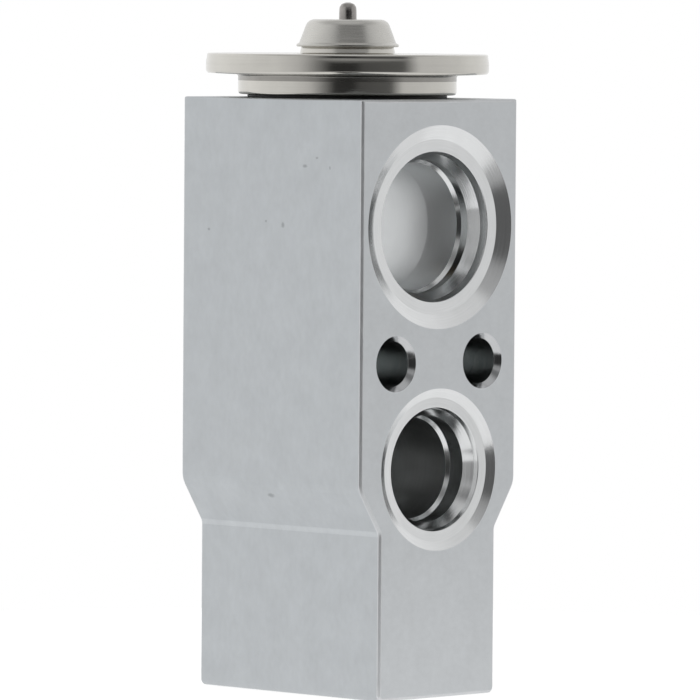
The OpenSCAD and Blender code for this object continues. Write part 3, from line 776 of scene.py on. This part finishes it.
def blockBar(shape):
    foot, top = shape["footWidth"] / 2, shape["width"] / 2
    shoulder = shape["footHeight"] + shape["taperHeight"]
    bend, footBend = shape["taperBend"], shape["footBend"]
    corners = [
        (-foot, 0, shape["footEdge"]), (foot, 0, shape["footEdge"]), (foot, shape["footHeight"], footBend),
        (top, shoulder, bend), (top, shape["height"], shape["topEdge"]),
        (-top, shape["height"], shape["topEdge"]), (-top, shoulder, bend),
        (-foot, shape["footHeight"], footBend),
    ]
    half, cut = shape["depth"] / 2, shape["faceChamfer"]
    soft = shape["chamferSoft"]
    # The chamfer's own two edges are broken a little
    stations = [(half - cut - soft, 0), (half - cut + soft * 0.7, soft * 0.6),
                (half - soft * 0.6, cut - soft * 0.7), (half, cut + soft)]
    rings = [(-x, by) for x, by in reversed(stations)] + stations
    work = bmesh.new()
    lines = []
    for x, by in rings:
        lines.append([
            work.verts.new(((shape["ahead"] + x) * mm, y * mm, z * mm))
            for y, z in roundCorners(drawnIn(corners, by))
        ])
    count = len(lines[0])
    sides = len(stations) - 1       # the band between the two chamfers
    for k, (a, b) in enumerate(zip(lines, lines[1:])):
        for i in range(count):
            j = (i + 1) % count
            face = work.faces.new((a[i], a[j], b[j], b[i]))
            face.smooth = True
            face.material_index = onBlock["extrudedSkin" if k == sides else "brokenEdge"]
            middle = (a[i].co.z + a[j].co.z) / 2 / mm
            if k == sides and abs(middle - shape["footHeight"]) < footBend / 2:
                face.material_index = onBlock["paintedBendHighlight"]     # the hollow bend is painted paler, a painted highlight line
    for line in (lines[0], lines[-1]):
        face = work.faces.new(line)
        face.smooth = True
        face.material_index = onBlock["milledFace"]
    work.loops.layers.uv.new("turning")
    bmesh.ops.recalc_face_normals(work, faces=work.faces)
    return meshFrom(work, "blockBody")


def bothEnds(points, length):
    # A tool that cuts the same shape from both faces, as one piece
    far = [(points[i][0], -length - points[i][1], points[i][2], points[i - 1][3])
           for i in range(len(points) - 1, -1, -1)]
    return points + far


def portProfile(port, shape, depth=None):
    turned, bored, inside = onBlock["turnedPort"], onBlock["portBore"], onBlock[port["inside"]]
    bore, soft = port["bore"], shape["soft"]
    seal = bore + shape["sealStep"]
    entry = seal + shape["sealLead"]
    ringOuter = entry + port["ring"]
    slope = math.tan(math.radians(shape["coneAngle"]))
    fall = port["lead"] * slope
    pilot = bore + shape["pilotStep"]
    mouth = [
        (0, over, 0, turned),
        (ringOuter + port["lead"] + over / slope, over, 0, turned),
        (ringOuter, -fall, soft, turned),
        (entry, -fall - shape["ringStep"], soft, turned),
        (seal, -port["seat"][0], soft, turned),
        (pilot, -port["seat"][1], soft, bored),
        (pilot, -shape["pilotDepth"], soft / 2, turned),
        (bore, -shape["boreDepth"], soft / 2, inside),
    ]
    if depth is None:
        return mouth
    return mouth + [(bore, -depth, 0, inside), (0, -depth - bore * shape["tip"], 0, inside)]


def holeProfile(radius, chamfer, depth=None):
    rim, bored = onBlock["holeEdge"], onBlock["portBore"]
    mouth = [(0, over, 0, rim), (radius + chamfer + over, over, 0, rim), (radius, -chamfer, holeSoft, bored)]
    if depth is None:
        return mouth
    return mouth + [(radius, -depth, 0, bored), (0, -depth - radius * drillTip, 0, bored)]


def closeCracks(mesh, weld):
    # Slivers that the cuts leave open are joined and filled
    work = bmesh.new()
    work.from_mesh(mesh)
    bmesh.ops.remove_doubles(work, verts=work.verts, dist=weld * mm)
    rims = [edge for edge in work.edges if edge.is_boundary]
    for face in bmesh.ops.holes_fill(work, edges=rims, sides=8)["faces"]:
        face.material_index = onBlock["portBore"]
    work.to_mesh(mesh)
    work.free()


def makeBlock(shape):
    block = newPiece("blockBody", blockBar(shape), blockFinishes)
    depth, half, boltHeight = shape["depth"], shape["depth"] / 2, shape["boltHeight"]
    alongSuction = alongX(1, shape["suctionHeight"])
    suction = bothEnds(portProfile(ports["suction"], portShape), depth)
    outlet = portProfile(ports["outlet"], portShape, half + outletPast)
    inlet = portProfile(ports["inlet"], portShape, half)
    stud = holeProfile(shape["studHole"], shape["studChamfer"], shape["studDepth"])
    bolt = bothEnds(holeProfile(shape["boltHole"], shape["boltChamfer"]), depth)
    cutters = [
        ("suction", suction, alongSuction, 160),
        ("outlet", outlet, alongX(1, shape["outletHeight"]), 144),
        ("inlet", inlet, alongX(-1, shape["inletHeight"]), 128),
        ("stud", stud, alongX(-1, boltHeight), 64),
    ]
    for across in (-shape["boltSpacing"] / 2, shape["boltSpacing"] / 2):
        cutters.append(("bolt", bolt, alongX(1, boltHeight, across), 72))
    for cutName, corners, steps, finish in axisCuts:
        profile = [(r, h, 0, onBlock[finish]) for r, h in corners]
        matrix = alongSuction if cutName == "suctionChamber" else Matrix.Identity(4)
        cutters.append((cutName, profile, matrix, steps))
    for cutName, profile, matrix, steps in cutters:
        tool = bpy.data.objects.new(cutName, turnedMesh(cutName, profile, matrix, steps))
        scene.collection.objects.link(tool)
        for material in block.data.materials:
            tool.data.materials.append(material)
        cut = block.modifiers.new("cut", "BOOLEAN")
        cut.operation = "DIFFERENCE"
        cut.solver = "EXACT"
        cut.object = tool
        applyModifiers(block)
        bpy.data.objects.remove(tool)
    closeCracks(block.data, shape["weld"])
    for face in block.data.polygons:
        face.use_smooth = True
    settle(block, shape["sharpAngle"])
    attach(block, "block")
    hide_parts("valve_body")
    return block


blockBody = makeBlock(blockShape)
print("block cut:", len(blockBody.data.polygons), "faces")


def buildThread():
    # A ridge along a helix that dies out at both ends
    group = bpy.data.node_groups.new("threadRidge", "GeometryNodeTree")
    inputs = {}
    for label, kind in (
        ("Radius", "NodeSocketFloat"), ("Pitch", "NodeSocketFloat"), ("Length", "NodeSocketFloat"),
        ("Ridge", "NodeSocketFloat"), ("Steps", "NodeSocketInt"), ("Metal", "NodeSocketMaterial"),
    ):
        inputs[label] = group.interface.new_socket(name=label, in_out="INPUT", socket_type=kind).identifier
    group.interface.new_socket(name="Geometry", in_out="OUTPUT", socket_type="NodeSocketGeometry")
    start = addNode(group, "NodeGroupInput", -1100, 0)
    end = addNode(group, "NodeGroupOutput", 1100, 0)
    link = group.links.new
    turns = mathNode(group, "DIVIDE", start.outputs["Length"], start.outputs["Pitch"], at=(-900, 200))
    helix = addNode(group, "GeometryNodeCurveSpiral", -600, 200)
    link(start.outputs["Steps"], helix.inputs["Resolution"])
    link(turns, helix.inputs["Rotations"])
    link(start.outputs["Radius"], helix.inputs["Start Radius"])
    link(start.outputs["Radius"], helix.inputs["End Radius"])
    link(start.outputs["Length"], helix.inputs["Height"])
    level = addNode(group, "GeometryNodeSetCurveNormal", -400, 200)
    level.mode = "Z_UP"
    link(helix.outputs[0], level.inputs[0])
    section = addNode(group, "GeometryNodeCurvePrimitiveCircle", -400, -100)
    section.inputs["Resolution"].default_value = 4
    link(start.outputs["Ridge"], section.inputs["Radius"])
    way = addNode(group, "GeometryNodeSplineParameter", -900, -400)
    toEnd = mathNode(group, "SUBTRACT", 1, way.outputs["Factor"], at=(-700, -400))
    nearer = mathNode(group, "MINIMUM", way.outputs["Factor"], toEnd, at=(-500, -400))
    grown = mathNode(group, "MULTIPLY", nearer, turns, at=(-300, -400))
    # Almost nothing at either end, and full after 0.6 of a turn
    runOut = mathNode(group, "MULTIPLY_ADD", grown, 1.6, 0.06, at=(-100, -400))
    full = mathNode(group, "MINIMUM", runOut, 1, at=(100, -400))
    ridge = addNode(group, "GeometryNodeCurveToMesh", 300, 100)
    ridge.inputs["Fill Caps"].default_value = True
    link(level.outputs[0], ridge.inputs["Curve"])
    link(section.outputs[0], ridge.inputs["Profile Curve"])
    link(full, ridge.inputs["Scale"])
    whole = addNode(group, "GeometryNodeRealizeInstances", 550, 100)
    link(ridge.outputs[0], whole.inputs[0])
    metal = addNode(group, "GeometryNodeSetMaterial", 800, 100)
    link(whole.outputs[0], metal.inputs["Geometry"])
    link(start.outputs["Metal"], metal.inputs["Material"])
    link(metal.outputs[0], end.inputs[0])
    return group, inputs


threadRidge, threadInputs = buildThread()
threads = {
    # Steps: points in one turn
    "studThread": {"Radius": 2.98, "Pitch": 1.0, "Length": 9.0, "Ridge": 0.44, "Steps": 40},
    "mouthThread": {"Radius": 6.34, "Pitch": 1.0, "Length": 4.4, "Ridge": 0.42, "Steps": 72},
}
studStart = -9.6    # from the back face
mouthStart = 0.8    # from the underside


def cutThread(name, matrix):
    piece = newPiece(name, bpy.data.meshes.new(name), [])
    helix = piece.modifiers.new("threadRidge", "NODES")
    helix.node_group = threadRidge
    for label, value in threads[name].items():
        helix[threadInputs[label]] = value if label == "Steps" else value * mm
    helix[threadInputs["Metal"]] = finishes["holeEdge"]
    plain = applyModifiers(piece)
    plain.name = name
    plain.transform(matrix)
    for face in plain.polygons:
        face.use_smooth = False
    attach(piece, "block")
    return piece


inStudHole = alongX(-1, blockShape["boltHeight"]) @ Matrix.Translation((0, 0, studStart * mm))
studThread = cutThread("studThread", inStudHole)
mouthThread = cutThread("mouthThread", Matrix.Translation((0, 0, mouthStart * mm)))
print("threads cut:", len(studThread.data.polygons) + len(mouthThread.data.polygons), "faces")


def arcPoints(centre, radius, start, stop, steps, finish=0):
    # Points of an arc in a profile, angles in degrees from the outward radius
    turns = [math.radians(start + (stop - start) * k / steps) for k in range(steps + 1)]
    return [(centre[0] + radius * math.cos(t), centre[1] + radius * math.sin(t), 0, finish) for t in turns]


elementSharp = 34   # as the block's sharpAngle


def turnedPiece(name, points, materials, body, node, steps=160):
    mesh = turnedMesh(name, points, Matrix.Identity(4), steps, closed=True)
    piece = newPiece(name, mesh, materials)
    settle(piece, elementSharp, flatFaces=False)
    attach(piece, body)
    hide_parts(node)


capShape = {
    "floor": 83.6, "top": 87.15, "inside": 5.2, "lip": 6.65, "lipTop": 84.0, "waist": 6.3,
    "lean": 20,               # degrees
    "shoulder": 1.25, "tube": 1.18, "wall": 0.6,
    "lipEdge": 0.13, "lipFillet": 0.1, "wallRound": 0.3,
    # where the top turns down round the tube
    "collar": 0.35, "collarRound": 0.15, "collarDrop": 0.12,
}
shellShape = {
    "edge": 18.4,             # widest radius of the disc
    "edgeHeight": 81.1,       # where it is widest
    "crown": 5.4,             # radius of the crowned edge in section
    "seam": 81.3,
    "top": 82.7,
    "lap": 17.6, "lapTop": 81.4, "lapFloor": 81.2,     # between them the diaphragm's rim is held
    "gasRadius": 13.4, "gasTop": 81.95, "tubeHole": 1.18,
    "cup": 14.2, "cupFloor": 77.4, "cupInside": 13.2, "floorInside": 78.4,
    "neck": 10.97, "neckBore": 8.57, "neckEnd": 70.4, "neckEdge": 0.5,
    "underside": 79.93,
    "seat": 6.0,              # the cap's seat where it meets the cap
    "seatFoot": 6.17,
    "crownArc": (2.5, 12.5),  # degrees of the crown, from its widest
    "topCorner": 0.4, "seatFillet": 0.26, "cupCorner": 0.38, "creaseRound": 0.3, "lowerRound": 0.6,
    # from the crown's end in, from the widest place down, and from the underside down to the centres
    "topCornerIn": 0.34, "lowerRoundDown": 0.46, "creaseRoundDown": 0.28,
    "shadeBand": 0.75,       # height of the band under the disc that is painted dark, a painted shade
    "rimBend": (16.2, 80.0, 0.8),
    "gap": 0.005,             # keeps the two shells' edges apart
}


def makeShells(shape):
    crownAt = (shape["edge"] - shape["crown"], shape["edgeHeight"])
    crown = arcPoints(crownAt, shape["crown"], *shape["crownArc"], 6)
    topCorner, fillet = shape["topCorner"], shape["seatFillet"]
    cornerAt = (crown[-1][0] - shape["topCornerIn"], shape["top"] - topCorner)
    lap, seam, gap, floor = shape["lap"], shape["seam"], shape["gap"], capShape["floor"]
    upper = [
        (shape["gasRadius"], shape["gasTop"]), (shape["gasRadius"], shape["lapTop"]),
        (lap, shape["lapTop"]), (lap, seam), (crown[0][0] - gap, seam),
    ]
    upper += crown + arcPoints(cornerAt, topCorner, 32, 90, 6)
    upper += arcPoints((shape["seatFoot"] + fillet, shape["top"] + fillet), fillet, -90, -168, 6)
    upper += [(shape["seat"], floor), (shape["tubeHole"], floor), (shape["tubeHole"], shape["gasTop"])]
    turnedPiece("upperShell", upper, ["shellSteel"], "block", "upper_shell")

    edgeRound = shape["lowerRound"]
    roundAt = (shape["edge"] - edgeRound, shape["edgeHeight"] - shape["lowerRoundDown"])
    lowerCrown = arcPoints(roundAt, edgeRound, -58, 0, 8)
    neck, end, cut = shape["neck"], shape["neckEnd"], shape["neckEdge"]
    lower = [(shape["neckBore"], end), (neck - cut, end), (neck, end + cut), (neck, shape["cupFloor"])]
    cup, cupCorner, bend = shape["cup"], shape["cupCorner"], shape["creaseRound"]
    underShade = 1      # the second of the lower shell's finishes, the painted shade under the disc
    lower += arcPoints((cup - cupCorner, shape["cupFloor"] + cupCorner), cupCorner, -90, 0, 6)
    # From here up under the disc the cup is painted dark, a painted shade
    lower += [(cup, shape["underside"] - shape["shadeBand"], 0, underShade)]
    bendAt = (cup + bend, shape["underside"] - shape["creaseRoundDown"])
    lower += arcPoints(bendAt, bend, 180, 97, 5, underShade)
    lower += [shape["rimBend"]]
    lower += lowerCrown
    inside = shape["cupInside"]
    lower += [
        (lowerCrown[-1][0] - gap, seam - gap), (lap, seam - gap), (lap, shape["lapFloor"]),
        (inside, shape["lapFloor"]), (inside, shape["floorInside"]),
        (shape["neckBore"], shape["floorInside"]),
    ]
    turnedPiece("lowerShell", lower, ["shellSteel", "shellUnderShade"], "block", "lower_shell")


def makeCap(shape):
    lean = math.radians(shape["lean"])
    centreHeight = shape["top"] - shape["shoulder"]
    rise = centreHeight + shape["shoulder"] * math.sin(lean) - shape["lipTop"]
    shoulderAt = shape["waist"] - rise * math.tan(lean) - shape["shoulder"] * math.cos(lean)
    tube, under, fillet = shape["tube"], shape["top"] - shape["wall"], shape["lipFillet"]
    cap = [
        (shape["inside"], shape["floor"]), (shape["lip"], shape["floor"], shape["lipEdge"]),
        (shape["lip"], shape["lipTop"] - fillet, fillet), (shape["waist"], shape["lipTop"] + fillet, fillet),
    ]
    cap += arcPoints((shoulderAt, centreHeight), shape["shoulder"], shape["lean"], 90, 8)
    cap += [
        (tube + shape["collar"], shape["top"], shape["collarRound"]),
        (tube, shape["top"] - shape["collarDrop"]), (tube, under), (shoulderAt, under, shape["wallRound"]),
    ]
    turnedPiece("chargeCap", cap, ["capSteel"], "block", "charge_cap", 128)


tubeShape = [
    # radius, height, rounding
    (0.55, 82.0, 0), (1.15, 82.0, 0), (1.15, 87.1, 0), (1.13, 88.3, 0.3), (1.08, 88.75, 0.25),
    (0.82, 89.15, 0.3), (0.3, 89.35, 0.2), (0, 89.34, 0), (0, 87.2, 0), (0.55, 87.2, 0),
]
gasketShape = [
    # radius, height, rounding
    (11.03, 77.0, 0), (12.95, 77.0, 0.08), (13.0, 77.2, 0.05), (12.95, 77.4, 0.08), (11.03, 77.4, 0),
]

makeShells(shellShape)
makeCap(capShape)
turnedPiece("chargeTube", tubeShape, ["darkTube"], "block", "charge_tube", 48)
turnedPiece("elementGasket", gasketShape, ["sealRubber"], "block", "element_gasket", 128)
print("power element turned")


# Finishes of the nodes kept as they are
for part in frame["record"]["subparts"]:
    node = frame["nodes"][part["node"]]
    finish = finishes[slotFinish[part["material_slot"]]]
    if not node.material_slots:
        node.data.materials.append(finish)
    for slot in node.material_slots:
        slot.link = "OBJECT"
        slot.material = finish
